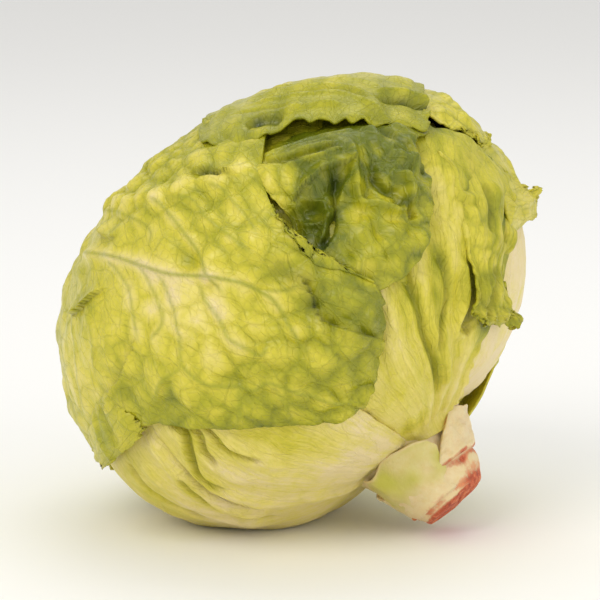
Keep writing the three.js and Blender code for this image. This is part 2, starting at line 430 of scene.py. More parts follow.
def leafFinish(name, netScale=(0.16, 0.10), lineStrength=0.24, gloss=0.36, streaky=0.0):
    s = Shader(name)
    paint = s.node("ShaderNodeAttribute", {"attribute_name": "paint"}, out="Vector")
    flow = s.node("ShaderNodeAttribute", {"attribute_name": "flow"}, out="Vector")
    place = s.node("ShaderNodeTexCoord", {}, out="Object")
    green = s.node("ShaderNodeSeparateXYZ", {}, paint, out=0)
    vein = s.node("ShaderNodeSeparateXYZ", {}, paint, out=1)
    shade = s.node("ShaderNodeSeparateXYZ", {}, paint, out=2)
    clouds = s.node("ShaderNodeTexNoise", {}, Vector=place, Scale=45.0, Detail=3.0, Roughness=0.55)
    mottle = s.node("ShaderNodeTexNoise", {}, Vector=place, Scale=190.0, Detail=4.0, Roughness=0.6)
    grain = s.node("ShaderNodeTexNoise", {}, Vector=place, Scale=900.0, Detail=2.0)
    wander = s.node("ShaderNodeTexNoise", {}, Vector=place, Scale=80.0, Detail=2.0, out="Color")
    shifted = s.node("ShaderNodeVectorMath", {"operation": "MULTIPLY_ADD"}, wander, (5.0, 5.0, 0.0), flow)
    scaled = s.node("ShaderNodeVectorMath", {"operation": "MULTIPLY"}, shifted, (*netScale, 1.0))
    finer = s.node("ShaderNodeVectorMath", {"operation": "SCALE"}, scaled, Scale=2.9)
    edges = {"feature": "DISTANCE_TO_EDGE", "voronoi_dimensions": "2D"}
    netEdge = s.node("ShaderNodeTexVoronoi", edges, Vector=scaled, Scale=1.0)
    fineEdge = s.node("ShaderNodeTexVoronoi", edges, Vector=finer, Scale=1.0)
    netLine = 1 - netEdge.between(0.0, 0.07)
    fineLine = 1 - fineEdge.between(0.0, 0.10)
    along = s.node("ShaderNodeVectorMath", {"operation": "MULTIPLY"}, shifted, (0.55, 0.02, 1.0))
    fibre = s.node("ShaderNodeTexNoise", {}, Vector=along, Scale=1.0, Detail=3.0)
    tone = green + 0.42 * (clouds - 0.5) + 0.34 * (mottle - 0.5) + 0.14 * (grain - 0.5)
    tone = tone + streaky * (fibre - 0.5)
    colour = s.node("ShaderNodeValToRGB", {"stops": leafColours["pale"]}, tone.clamped())
    lines = (lineStrength * netLine + 0.45 * lineStrength * fineLine).clamped()
    colour = s.mix(lines * green.between(0.15, 0.6), colour, leafColours["vein"])
    colour = s.mix((0.8 * vein).clamped(), colour, leafColours["vein"])
    # painted shade: creases, folds, hollows and shade marks darken towards a deep green
    colour = s.mix(shade.clamped(), colour, leafColours["paintedShadeGreen"])
    specks = mottle.between(0.72, 0.8) * clouds.between(0.55, 0.7)
    colour = s.mix(0.5 * specks, colour, leafColours["brown"])
    rough = gloss + 0.25 * (mottle - 0.5) + 0.1 * netLine
    height = 0.5 * fineLine + 0.7 * netLine + 0.9 * mottle + 0.25 * grain + 0.8 * streaky * fibre
    bump = s.node("ShaderNodeBump", {}, Strength=0.55, Distance=0.0005, Height=height)
    s.set(Base_Color=colour, Roughness=rough, Normal=bump)
    s.set(Specular_IOR_Level=0.36, Subsurface_Weight=0.18, Subsurface_Scale=0.004)
    s.set(Subsurface_Radius=(1.0, 0.9, 0.25), Coat_Weight=0.14, Coat_Roughness=0.25)
    return s.material


greenFinish = leafFinish("greenLeaf")
paleFinish = leafFinish("paleLeaf", netScale=(0.2, 0.07), lineStrength=0.16, gloss=0.5, streaky=0.35)
smoothFinish = leafFinish("smoothLeaf", netScale=(0.12, 0.05), lineStrength=0.08, gloss=0.5, streaky=0.15)

# The big loose leaf that wraps round the left side and ends in a free edge in front.
frontLeaf = {
    "lift": 4.0, "cells": (186, 206), "size": (170, 270), "backPart": (0.44, 0.22),
    "focus": (95, -20), "green": 0.55, "marginGreen": 0.2,
    "blister": 1.1, "blisterSize": (9, 11), "blisterFrom": (0.3, 0.6),
    "netVeins": 0.14, "lumps": 1.8, "blisterLightAndShade": 0.26, "uneven": 1.1, "ragged": 0.02, "wave": 0.7, "round": 0.12,
    "rows": [
        [(15, -150), (15, -158), (15, -166), (15, -174), (15, -182)],
        [(48, -150), (48, -161), (48, -172), (48, -183), (48, -195)],
        [(74, -126), (80, -142), (84, -160), (86, -182), (86, -212, 1.8)],
        [(89, -92), (103, -108), (114, -130), (126, -164), (132, -218, 1.8)],
        [(90, -66), (108, -69), (128, -76), (150, -100), (160, 110, 1.8)],
        [(83, -46), (100, -42), (118, -36), (138, -24, 4.2), (148, 40, 2.6)],
        [(71, -33), (87, -25), (103, -16), (119, -4, 4.4), (126, 31, 2.2)],
        [(59, -20), (72, -12), (86, -4), (99, 3, 4.8), (106, 12, 4.6)],
        [(50, -9), (53, 4), (61, 14), (72, 17, 4.4), (85, 6, 5.0)],
    ],
    "marks": [
        ("ridge", 1.6, 3.2, (145, -34), (135, -24), (125, -12), (119, -1), (114, 8), (109, 14)),
        ("vein", 0.9, 1.5, (124, -12), (120, -10), (111, -9), (102, -9), (98, -10), (91, -10)),
        ("vein", 0.7, 1.3, (122, -9), (115, -3), (110, -3), (104, -2), (99, -1), (92, 0)),
        ("vein", 0.6, 1.2, (116, 2), (112, 4), (106, 4), (102, 4), (96, 3)),
        ("vein", 0.7, 1.3, (140, -36), (138, -33), (129, -23), (117, -16), (113, -19)),
        ("vein", 1.0, 1.6, (133, -50), (130, -44), (119, -29), (112, -23), (104, -17), (98, -11), (92, -6),
         (88, -4), (84, -3), (78, -4), (73, -5), (67, -5)),
        ("vein", 0.6, 1.2, (119, -32), (117, -30), (109, -28), (104, -30), (97, -33)),
        ("vein", 0.6, 1.2, (112, -23), (111, -22), (102, -23), (97, -25), (96, -31)),
        ("vein", 0.6, 1.2, (107, -19), (101, -20), (94, -22), (89, -26), (87, -27)),
        ("vein", 0.7, 1.3, (99, -12), (95, -14), (90, -14),
         (85, -15), (81, -14), (78, -13), (78, -11), (80, -9)),
        ("vein", 0.9, 1.4, (89, -27), (87, -27), (81, -26), (76, -22), (73, -20), (72, -16), (66, -13),
         (57, -8), (53, -2)),
        ("vein", 0.6, 1.2, (87, -27), (88, -34), (86, -40)),
        ("vein", 0.6, 1.2, (88, -4), (84, 1), (84, 3)),
        ("vein", 0.5, 1.1, (72, -16), (67, -17), (62, -20)),
        ("vein", 0.5, 1.1, (76, -22), (72, -26), (70, -30)),
        ("vein", 0.5, 1.1, (126, -48), (118, -45), (108, -44), (100, -50)),
        ("vein", 0.5, 1.1, (121, -52), (112, -54), (104, -58), (97, -66)),
        ("streak", -0.22, 2.6, (145, -34), (135, -24), (125, -12), (119, -1), (114, 8), (109, 14)),
        ("ridge", 1.0, 2.2, (133, -50), (130, -44), (119, -29), (112, -23), (104, -17), (98, -11), (92, -6)),
        ("streak", -0.24, 2.4, (133, -50), (130, -44), (119, -29),
         (112, -23), (104, -17), (98, -11), (92, -6)),
        ("streak", -0.16, 2.0, (124, -12), (120, -10), (111, -9), (102, -9), (98, -10)),
        ("fold", 2.2, 7.0, (99, -33), (98, -36), (96, -42), (95, -51), (92, -56)),
        ("fold", 2.6, 4.0, (118, -54), (116, -46), (115, -36)),
        ("fold", 2.0, 3.0, (133, -36), (127, -31), (123, -26)),
        ("fold", 2.4, 3.0, (123, 1), (118, 5), (112, 9)),
        ("crease", 2.6, 1.4, (121, 3), (118, 5), (115, 7)),
        ("crease", 1.8, 2.2, (84, 4), (82, 4), (79, 3), (75, 2), (71, 4)),
        ("fold", 2.6, 6.0, (61, 12), (66, 8), (70, 5), (75, 2), (79, 3), (82, 4), (86, 4)),
        ("swell", 1.8, 7.0, (88, -18), (97, -5), (74, -10), (107, -14), (93, -28), (66, -2), (69, 10)),
        ("swell", 1.5, 9.0, (110, -62), (105, -48), (84, -28), (77, 8)),
        ("swell", -1.7, 4.6, (89, 2), (104, -12), (77, -21), (84, -37), (79, 1), (92, -42)),
        ("swell", -1.2, 4.0, (72, -4), (97, -36), (128, -6), (112, 0)),
        ("swell", 1.3, 3.6, (101, -8), (96, -2), (92, -8), (86, -8), (84, -14), (79, -6), (74, -1), (69, -8)),
        ("swell", 1.2, 3.6, (70, -24), (66, -16), (80, -32), (93, -20), (98, -16), (107, -4), (111, -14)),
        ("tint", 0.12, 7.0, (76, 8), (72, 10), (80, 7), (68, 12)),
        ("swell", 1.6, 2.6, (81, 8), (77, 7), (77, 12), (73, 8), (73, 13), (69, 10), (69, 6)),
        ("vein", 0.5, 1.2, (83, 7), (79, 9), (75, 10), (70, 13)),
        ("vein", 0.5, 1.2, (79, 9), (76, 6), (72, 6)),
        # greener tint in the dents of the sunken swells: painted shade
        ("tint", 0.16, 5.0, (89, 2), (104, -12), (79, 2),
         (92, -44), (116, -44), (77, -21), (84, -36), (102, -10)),
        ("tint", 0.10, 14.0, (72, -22), (62, -8), (86, -40), (116, 2)),
        ("tint", -0.16, 16.0, (104, -26), (95, -18), (108, -55), (88, -16)),
        ("shade", 0.3, 2.8, (89, 2), (86, 3), (79, 3), (84, 5), (119, 5)),
        ("shade", 0.2, 2.2, (92, -46), (117, -46), (128, -32)),
    ],
}

# The folded corner of the front leaf, with its torn tips.
cornerFlap = {
    "lift": 5.6, "cells": (36, 42), "size": (30, 34), "green": 0.55, "blister": 0.4, "uneven": 0.6,
    "ragged": 0.16, "wave": 0.9, "round": 0.1, "netVeins": 0.3,
    "blisterFrom": (0.0, 0.1), "blisterSize": (6, 9),
    "rows": [
        [(98, -50, 4.0), (97, -56, 4.2), (96, -62, 4.5), (95, -68, 4.8), (95, -74, 4.6)],
        [(92, -46, 5.2), (92, -53, 5.8), (91, -61, 6.0), (91, -68, 5.8), (92, -76, 5.4)],
        [(86, -45, 4.8), (87, -54, 6.2), (87, -62, 6.6), (88, -69, 6.4), (89, -78, 7.0)],
        [(83, -46, 3.4), (84, -56, 4.8), (85, -62, 5.2), (86, -68, 5.6), (87, -76, 7.5)],
    ],
    "marks": [
        ("ridge", 1.2, 1.6, (97, -60), (92, -62), (87, -64), (85, -66)),
        ("crease", 1.2, 1.6, (96, -56), (91, -56), (86, -57)),
        ("tint", 0.2, 5.0, (93, -54), (90, -60)),
    ],
}

# The leaf that comes over the top and stops at a torn edge above the openings.
topLeaf = {
    "lift": 4.6, "cells": (92, 120), "size": (90, 260), "backPart": (0.5, 0.2),
    "green": 0.5, "tipGreen": 0.14, "greenFrom": (0.6, 0.85), "marginGreen": 0.12,
    "blister": 0.5, "blisterSize": (12, 26), "blisterFrom": (0.2, 0.5), "netVeins": 0.12, "lumps": 1.3,
    "uneven": 1.4, "ragged": 0.035, "wave": 0.9, "round": 0.05, "ribs": 0.3, "ribCount": 8,
    "rows": [
        [(16, 168), (16, 161), (16, 154), (16, 147), (16, 140)],
        [(48, 159), (48, 151), (48, 143), (48, 135), (48, 127)],
        [(86, 154), (88, 144), (90, 134), (88, 123), (84, 112)],
        [(123, 156), (122, 138), (119, 120), (114, 106), (106, 96)],
        [(160, 135), (146, 104), (134, 92), (122, 85), (108, 80)],
        [(150, 24, 4.2), (137, 38, 4.6), (125, 48, 4.8), (113, 56, 4.6), (101, 64, 4.4)],
        [(130, 9, 4.6), (116, 14, 5.2), (113, 29, 6.2), (104, 40, 4.9), (93, 52, 4.5)],
    ],
    "marks": [
        ("ridge", 1.4, 1.6, (140, 40), (128, 49), (117, 52), (106, 48), (99, 43)),
        ("ridge", 1.3, 1.4, (135, 30), (125, 39), (117, 46), (108, 47), (102, 45)),
        ("ridge", 1.0, 1.3, (142, 48), (130, 57), (119, 60), (108, 57)),
        ("crease", 1.6, 1.3, (137, 35), (127, 44), (118, 49), (109, 48)),
        ("crease", 1.2, 1.1, (132, 24), (126, 31), (121, 36)),
        ("crease", 3.0, 2.6, (124, 21), (121, 27), (118, 29)),
        ("ridge", 1.6, 1.8, (125, 26), (120, 31), (116, 38), (111, 43)),
        ("crease", 4.5, 1.6, (108, 51), (104, 57), (100, 60), (96, 62)),
        ("ridge", 2.2, 1.6, (111, 54), (106, 60), (101, 63)),
        # greener tint in the deep creases: painted shade
        ("tint", 0.16, 6.0, (121, 27), (108, 50), (126, 38)),
        ("shade", 0.7, 2.2, (104, 57), (100, 60), (123, 25)),
    ],
}

# The crumpled end of that leaf, which starts under its torn edge and fills the middle.
crumpledEnd = {
    "lift": 4.4, "cells": (165, 155), "size": (62, 74), "focus": (90, 30),
    "green": 0.9, "tipGreen": -0.1, "marginGreen": 0.0,
    "blister": 1.9, "blisterSize": (7, 8), "blisterFrom": (0.3, 0.55), "netVeins": 0.3, "blisterLightAndShade": 0.3,
    "uneven": 0.9, "ragged": 0.03, "wave": 0.5, "round": 0.3, "crumple": 0.75, "lumps": 1.4,
    "rows": [
        [(127, 18, -2), (121, 28, -3), (115, 40, -2), (108, 48, 0), (99, 59, 1.5)],
        [(117, 13, 3.0), (113, 21, 1.0), (109, 32, 1.2), (102, 43, 4.0), (95, 54, 4.0)],
        [(109, 11, 4.6), (108, 18, 7.4), (106, 27, 7.6), (101, 36, 6.2), (95, 48, 4.8)],
        [(102, 11, 3.0), (101, 17, 3.2), (99, 26, 4.8), (96, 34, 4.6), (92, 45, 4.8)],
        [(96, 11, -2.0), (93, 16, -2.6), (90, 24, 2.5), (88, 33, 5.4), (87, 44, 4.4)],
        [(90, 8, -1.5), (86, 13, 1.0), (80, 20, 5.0), (79, 29, 5.2), (81, 40, 4.2)],
        [(87, 2, 1.2), (79, 9, 2.0), (72, 15, 2.6), (71, 26, 4.4), (76, 37, 4.0)],
    ],
    "marks": [
        ("ridge", 1.8, 1.5, (114, 15), (112, 21), (110, 28), (106, 34), (103, 38)),
        ("crease", 2.4, 1.3, (112, 15), (107, 19), (104, 25), (102, 31)),
        ("ridge", 1.6, 1.2, (106, 17), (103, 24), (101, 30)),
        ("crease", 1.6, 1.1, (109, 20), (107, 26), (104, 32)),
        ("ridge", 4.4, 1.5, (102, 33), (98, 30), (94, 27), (90, 25), (87, 27), (84, 30), (84, 34), (88, 36),
         (92, 34)),
        ("crease", 2.0, 1.4, (96, 34), (92, 31), (88, 31), (87, 34)),
        ("crease", 1.6, 1.3, (99, 27), (95, 23), (91, 20), (88, 16), (87, 12)),
        ("fold", 3.4, 3.5, (97, 29), (93, 22), (88, 17), (85, 9)),
        ("fold", 3.0, 3.0, (99, 13), (100, 19), (99, 26), (96, 30)),
        ("ridge", 1.8, 1.0, (99, 15), (95, 19), (91, 17), (88, 12)),
        ("ridge", 1.6, 1.0, (95, 12), (92, 16), (92, 22)),
        ("crease", 2.6, 1.2, (85, 30), (83, 33), (80, 33)),
        ("ridge", 2.2, 1.8, (104, 41), (98, 38), (93, 39), (88, 43)),
        ("ridge", 2.0, 1.6, (101, 46), (95, 46), (90, 49)),
        ("crease", 2.4, 1.4, (103, 43), (97, 42), (91, 43), (86, 42)),
        ("crease", 2.0, 1.2, (96, 50), (91, 48), (86, 46)),
        ("swell", 2.6, 3.4, (85, 22), (81, 14), (78, 20), (76, 27)),
        ("swell", 2.2, 3.0, (80, 27), (90, 41), (84, 38), (95, 42), (76, 33), (84, 44)),
        ("swell", -1.6, 2.4, (82, 17), (82, 24), (79, 31), (92, 30), (77, 23)),
        ("tint", 0.2, 6.0, (88, 42), (92, 36), (97, 20), (90, 14), (103, 40), (113, 28)),
        ("tint", -0.16, 4.0, (78, 18), (86, 22), (90, 26), (103, 24), (84, 31)),
        ("tint", -0.28, 8.0, (117, 15), (109, 12), (122, 22), (103, 12)),
        ("vein", 0.5, 1.3, (92, 31), (88, 28), (83, 25), (78, 24), (74, 22)),
        ("vein", 0.5, 1.2, (83, 25), (80, 30), (76, 33)),
        ("vein", 0.5, 1.2, (94, 44), (89, 41), (85, 36), (81, 35), (78, 36)),
        ("vein", 0.4, 1.1, (89, 41), (88, 47), (85, 49)),
        ("vein", 0.4, 1.1, (86, 20), (81, 18), (77, 15)),
        ("shade", 0.4, 3.2, (97, 18), (94, 15), (91, 17), (95, 11), (91, 9), (88, 9), (97, 24), (88, 13)),
        ("swell", -1.4, 3.0, (95, 11), (91, 9), (89, 12), (96, 23), (96, 17)),
        ("swell", 1.8, 1.8, (93, 13), (95, 20), (92, 19), (98, 14)),
        ("shade", 0.8, 4.0, (117, 30), (122, 26), (112, 40), (116, 38)),
        ("shade", 0.6, 2.2, (84, 33), (87, 13), (92, 31), (97, 24)),
    ],
}

# The pale ribbed leaf that rises from the stem on the right.
rightLeaf = {
    "lift": 2.2, "cells": (140, 150), "size": (110, 130), "green": 0.26, "tipGreen": 0.18,
    "greenFrom": (0.25, 0.75), "marginGreen": 0.3, "blister": 0.7, "blisterSize": (9, 13),
    "blisterFrom": (0.5, 0.75), "netVeins": 0.25, "uneven": 0.8, "ragged": 0.014, "wave": 0.5,
    "ribs": 0.5, "ribCount": 6, "round": 0.2,
    "rows": [
        [(16, -10, -2), (16, 10, -2), (16, 26, -1.5), (16, 42, -1.5), (16, 58, -1.5)],
        [(22, -9, -0.6), (22, 8), (22, 24), (22, 38), (22, 52, 2.8)],
        [(36, -10, -0.4), (36, 6), (36, 22), (36, 34), (37, 47, 3.2)],
        [(55, -12, 0.2), (56, 4, 1.6), (57, 20), (55, 34), (47, 55, 3.4)],
        [(73, -9, -0.5), (72, 8, 0.8), (72, 24, 1.4), (69, 42, 2.4), (58, 61, 3.6)],
        [(88, -2, -8), (84, 12, -9), (86, 27, -7), (84, 50, 3.0), (73, 72, 3.8)],
        [(104, 8, -6), (105, 20, -6), (104, 38, -3), (97, 58, 3.0), (85, 75, 4.0)],
    ],
    "marks": [
        ("crease", 2.4, 1.4, (74, 26), (70, 25), (63, 24), (56, 23), (46, 24), (31, 26)),
        ("crease", 2.2, 1.3, (72, 36), (66, 36), (60, 34), (54, 29), (47, 27)),
        ("ridge", 1.6, 2.6, (70, 30), (63, 28), (54, 27), (41, 30), (30, 36)),
        ("ridge", 1.2, 3.0, (70, 19), (62, 16), (52, 15), (38, 15), (19, 19)),
        ("ridge", 1.0, 2.6, (64, 13), (55, 10), (43, 8), (24, 5)),
        ("ridge", 2.6, 1.8, (67, 42), (62, 42), (57, 41), (51, 35), (47, 40)),
        ("crease", 2.8, 2.0, (64, 46), (57, 44), (51, 41), (48, 43)),
        ("crease", 1.0, 2.6, (49, -6), (35, -8), (20, -12)),
        # darker along the creases: painted shade
        ("streak", 0.32, 2.6, (74, 26), (70, 25), (63, 24), (56, 23), (46, 24), (31, 26)),
        ("streak", 0.30, 2.6, (74, 36), (66, 36), (60, 34), (54, 29)),
        ("streak", 0.20, 2.6, (66, 31), (56, 30), (44, 30), (34, 30)),
        ("tint", 0.32, 7.0, (60, 46), (52, 48), (56, 54), (46, 52), (44, 60)),
        ("tint", 0.36, 7.0, (78, 56), (73, 60), (69, 54), (74, 66)),
        ("tint", 0.20, 6.0, (27, 4), (30, 10), (92, 52), (98, 58)),
        ("tint", -0.16, 8.0, (80, 36), (76, 31), (84, 44)),
        ("swell", -1.4, 6.0, (76, 60), (70, 55), (60, 50), (52, 54)),
        ("shade", 0.4, 2.2, (72, 54), (52, 43), (64, 48)),
    ],
}

# The green torn edge of that leaf, lying loose on the white leaf beside it.
rightFrill = {
    "lift": 4.6, "cells": (52, 84), "size": (34, 50), "green": 0.52, "marginGreen": 0.15,
    "blister": 1.2, "blisterSize": (7, 8), "blisterFrom": (0, 0.1), "netVeins": 0.4, "uneven": 1.4,
    "ragged": 0.14, "wave": 2.0, "round": 0.3,
    "rows": [
        [(90, 52, 2.0), (90, 59, 3.2), (90, 66, 3.8), (90, 72, 3.4)],
        [(80, 48, 2.4), (80, 57, 4.6), (80, 66, 5.4), (80, 74, 4.4)],
        [(70, 44, 2.4), (69, 53, 5.2), (68, 62, 5.4), (67, 69, 4.4)],
        [(62, 42, 3.0), (61, 47, 5.0), (60, 53, 5.4), (58, 58, 4.2)],
        [(55, 40, 3.2), (53, 47, 5.4), (51, 56, 6.0), (50, 64, 4.8)],
        [(49, 44, 2.8), (46, 52, 5.0), (43, 62, 5.4), (42, 70, 4.4)],
    ],
    "marks": [
        ("ridge", 2.2, 1.6, (67, 42), (60, 42), (55, 40), (50, 37)),
        ("crease", 2.4, 1.8, (79, 60), (74, 58), (68, 54)),
        ("crease", 2.2, 1.6, (62, 52), (56, 48), (50, 46)),
        ("crease", 2.0, 1.5, (74, 68), (70, 64), (65, 60)),
        ("swell", 2.2, 4.0, (76, 62), (58, 50), (50, 54), (46, 62)),
        ("shade", 0.25, 2.2, (73, 57), (60, 47), (55, 44), (66, 56)),
        ("tint", 0.2, 5.0, (74, 60), (70, 54), (58, 46)),
    ],
}

farRightLeaf = {
    "lift": 1.6, "cells": (54, 60), "size": (110, 110), "green": 0.03, "tipGreen": 0.12,
    "greenFrom": (0.6, 1.0), "marginGreen": 0.05, "blister": 0.15, "netVeins": 0.0, "uneven": 0.7,
    "ribs": 0.2, "ribCount": 5, "ragged": 0.02, "wave": 0.3,
    "rows": [
        [(17, 46, -3), (17, 60, -2.5), (17, 76, -2), (17, 94, -2), (17, 118, -2)],
        [(34, 40, 0.5), (34, 66), (34, 86), (34, 106), (34, 126, 1.6)],
        [(50, 38, 0), (50, 64, 1.3), (50, 88, 2.2), (50, 108, 1.8), (50, 128, 1.6)],
        [(66, 42, 0), (67, 66, 1.2), (68, 87, 2.2), (67, 107, 1.6), (66, 127, 1.2)],
        [(84, 52, 0), (86, 70, 0), (87, 87, 0), (86, 104, 0), (82, 120, -0.5)],
    ],
}

backRightLeaf = {
    "lift": 3.0, "cells": (84, 90), "size": (110, 130), "green": 0.36, "tipGreen": 0.16,
    "greenFrom": (0.4, 0.9), "marginGreen": 0.2, "blister": 0.8, "blisterFrom": (0.35, 0.6),
    "uneven": 1.0, "ragged": 0.10, "wave": 1.8, "ribs": 0.4, "ribCount": 5, "round": 0.1,
    "rows": [
        [(17, 116, -3), (17, 122, -2), (17, 129, -1), (17, 136, -1), (17, 144, -1)],
        [(44, 124, -1), (45, 128, 0.4), (46, 133, 2.0), (46, 140), (46, 150)],
        [(60, 118, -1), (68, 120, 0.2), (74, 124, 1.8), (76, 134), (76, 150)],
        [(72, 100, 0.0), (82, 95, 1.5), (90, 102), (96, 116), (98, 138)],
        [(86, 76, 3.2), (99, 74, 3.0), (112, 80, 2.6), (118, 98, 2.4), (120, 118, 2.2)],
    ],
}

# Torn yellow-green tips of the back leaf, at the upper right.
tornTips = [
    {
        "lift": 6.0, "cells": (50, 56), "size": (34, 36), "green": 0.5, "marginGreen": 0.05, "blister": 0.5,
        "blisterFrom": (0, 0.1), "blisterSize": (7, 10), "uneven": 0.7,
        "ragged": 0.22, "wave": 1.2, "round": 0.3,
        "rows": [
            [(113, 98, 1.5), (109, 86, 3.6), (106, 74, 4.6), (103, 66, 4.6), (100, 59, 4.2)],
            [(104, 100, 1.5), (102, 88, 4.2), (100, 77, 6.2), (98, 69, 6.2), (95, 62, 4.6)],
            [(96, 100, 1.5), (95, 89, 4.2), (93, 79, 6.0), (91, 72, 6.0), (89, 66, 4.4)],
            [(88, 99, 1.5), (88, 89, 3.8), (87, 80, 4.8), (86, 75, 4.8), (85, 70, 4.0)],
        ],
        "marks": [
            ("ridge", 1.2, 1.4, (112, 84), (101, 76), (92, 70)),
            ("crease", 1.4, 1.2, (106, 90), (98, 82), (88, 77)),
            ("vein", 0.4, 1.0, (108, 78), (98, 76), (90, 78)),
        ],
    },
    {
        "lift": 5.0, "cells": (44, 50), "size": (30, 32), "green": 0.5, "marginGreen": 0.05, "blister": 0.5,
        "blisterFrom": (0, 0.1), "blisterSize": (7, 10), "uneven": 0.6,
        "ragged": 0.24, "wave": 1.0, "round": 0.3,
        "rows": [
            [(92, 106, 1.5), (92, 94, 3.4), (90, 84, 4.6), (89, 75, 4.8), (88, 68, 4.4)],
            [(84, 106, 1.5), (84, 95, 3.8), (84, 86, 5.0), (83, 79, 5.2), (82, 72, 4.6)],
            [(77, 105, 1.5), (77, 95, 3.8), (77, 88, 5.2), (76, 82, 5.6), (75, 75, 4.8)],
            [(71, 102, 1.5), (72, 94, 3.4), (72, 88, 4.8), (72, 83, 5.2), (71, 77, 4.4)],
        ],
        "marks": [
            ("ridge", 1.0, 1.3, (90, 88), (82, 84), (75, 80)),
            ("crease", 1.2, 1.1, (88, 96), (80, 90), (73, 88)),
        ],
    },
    {
        "lift": 7.0, "cells": (36, 36), "size": (20, 24), "green": 0.46, "marginGreen": 0.05, "blister": 0.4,
        "blisterFrom": (0, 0.1), "blisterSize": (6, 8), "uneven": 0.6,
        "ragged": 0.2, "wave": 0.8, "round": 0.5,
        "rows": [
            [(80, 66, 3.6), (76, 66, 4.4), (72, 66, 4.6), (66, 66, 3.8)],
            [(78, 75, 5.0), (75, 75, 5.8), (71, 75, 5.8), (67, 75, 4.6)],
            [(76, 83, 7.5), (74, 83, 7.6), (71, 83, 7.2), (68, 82, 6.0)],
            [(76, 89, 12.0), (74, 88, 11.0), (72, 87, 9.6), (69, 86, 8.0)],
        ],
        "marks": [("ridge", 0.9, 1.2, (72, 68), (72, 76), (73, 86))],
    },
]

lowerFrontLeaf = {
    "lift": 2.0, "cells": (130, 130), "size": (90, 120), "green": 0.10, "tipGreen": 0.12,
    "greenFrom": (0.4, 0.9), "marginGreen": 0.08, "blister": 0.15, "netVeins": 0.1, "uneven": 0.7,
    "ragged": 0.01, "wave": 0.3, "ribs": 0.3, "ribCount": 5, "round": 0.05,
    "rows": [
        [(16.5, -84, -2), (16.5, -64, -2), (16.5, -44, -2), (16.5, -22, -2), (16.5, -4, -2)],
        [(22, -77), (22, -59), (22, -41), (22, -21), (22, -3, 1.4)],
        [(36, -68, 2.6), (36, -52), (36, -36), (36, -20), (36, -4, 1.4)],
        [(55, -60, 3.0), (57, -49), (58, -38), (58, -22), (57, -6, 1.2)],
        [(72, -52, 2.4), (75, -43), (77, -35), (77, -24), (76, -8, 1.0)],
        [(90, -46, 0.5), (93, -39, 0.5), (95, -32, 0.5), (95, -22, 0.5), (93, -8, 0.5)],
    ],
    "marks": [
        ("crease", 3.2, 1.2, (84, -42), (78, -41), (74, -45), (68, -52), (60, -54)),
        ("crease", 2.8, 1.1, (80, -39), (75, -39), (71, -43), (66, -46)),
        ("crease", 2.8, 1.2, (78, -36), (72, -37), (68, -39), (65, -39), (58, -37)),
        ("ridge", 2.0, 2.8, (84, -44), (77, -44), (71, -49), (64, -54), (54, -58), (42, -62)),
        ("ridge", 1.4, 2.6, (80, -38), (73, -41), (67, -46), (56, -49)),
        ("ridge", 1.2, 3.0, (78, -34), (71, -36), (64, -37), (52, -38)),
        ("crease", 0.9, 1.6, (46, -66), (36, -70), (24, -76)),
        ("ridge", 1.0, 2.4, (40, -58), (30, -64), (20, -72)),
        # darker along the creases: painted shade
        ("streak", 0.24, 2.4, (84, -42), (78, -41), (74, -45), (68, -52), (60, -54)),
        ("streak", 0.26, 2.4, (78, -36), (72, -37), (68, -39), (60, -38)),
        ("streak", 0.16, 3.0, (80, -38), (74, -40), (69, -45)),
        ("tint", 0.16, 9.0, (66, -26), (62, -22), (56, -30), (48, -24)),
        ("tint", -0.08, 10.0, (40, -30), (30, -20)),
    ],
}

lowerLeaf = {
    "lift": 3.6, "cells": (150, 140), "size": (150, 120), "green": 0.12, "tipGreen": 0.08,
    "greenFrom": (0.3, 0.9), "marginGreen": 0.1, "blister": 0.2, "netVeins": 0.1, "uneven": 0.8,
    "ragged": 0.02, "wave": 0.3, "ribs": 0.45, "ribCount": 6, "round": 0.05,
    "rows": [
        [(16, -158, 0), (16, -140, 0), (16, -122, 0), (16, -104, 0), (16, -86, 0), (16, -68, 0)],
        [(34, -152, 1), (34, -128, 4.3), (34, -108, 4.5), (34, -88, 4.2), (34, -72, 1.6), (34, -58, 0.4)],
        [(50, -153, 0), (50, -130, 4.4), (50, -109, 4.5), (50, -88, 4.4), (50, -69, 2.4), (50, -54, 0.2)],
        [(65, -144, 0), (66, -125, 4.3), (66, -106, 4.5), (66, -86, 4.4), (66, -66, 2.4), (66, -49, 0.0)],
        [(80, -133, 0), (81, -114, 0.8), (81, -97, 2.0), (80, -80, 3.6), (80, -62, 2.6), (79, -44, -0.4)],
        [(95, -118, 0), (97, -103, 0), (97, -88, 0), (96, -73, 0), (95, -58, 0), (92, -44, -0.4)],
    ],
    "marks": [
        ("crease", 4.6, 1.3, (84, -44), (79, -48), (75, -50), (69, -54), (63, -58), (58, -60), (52, -62)),
        ("ridge", 2.4, 3.2, (84, -50), (78, -54), (72, -57), (65, -62), (56, -66), (46, -71)),
        ("crease", 2.8, 1.2, (72, -57), (68, -60), (61, -65), (53, -70), (44, -75)),
        ("ridge", 1.4, 3.0, (82, -60), (74, -64), (66, -68), (56, -74), (44, -80)),
        ("crease", 2.2, 1.3, (84, -66), (77, -71), (70, -73), (60, -77)),
        # darker along the creases: painted shade
        ("streak", 0.22, 2.6, (72, -57), (66, -62), (58, -67), (50, -72)),
        ("streak", 0.35, 1.4, (84, -44), (79, -48), (75, -50), (69, -54), (63, -58)),
        ("shade", 0.35, 1.6, (80, -47), (77, -49), (74, -51), (70, -54), (66, -56)),
        ("tint", 0.14, 8.0, (82, -66), (76, -74), (70, -80)),
    ],
}

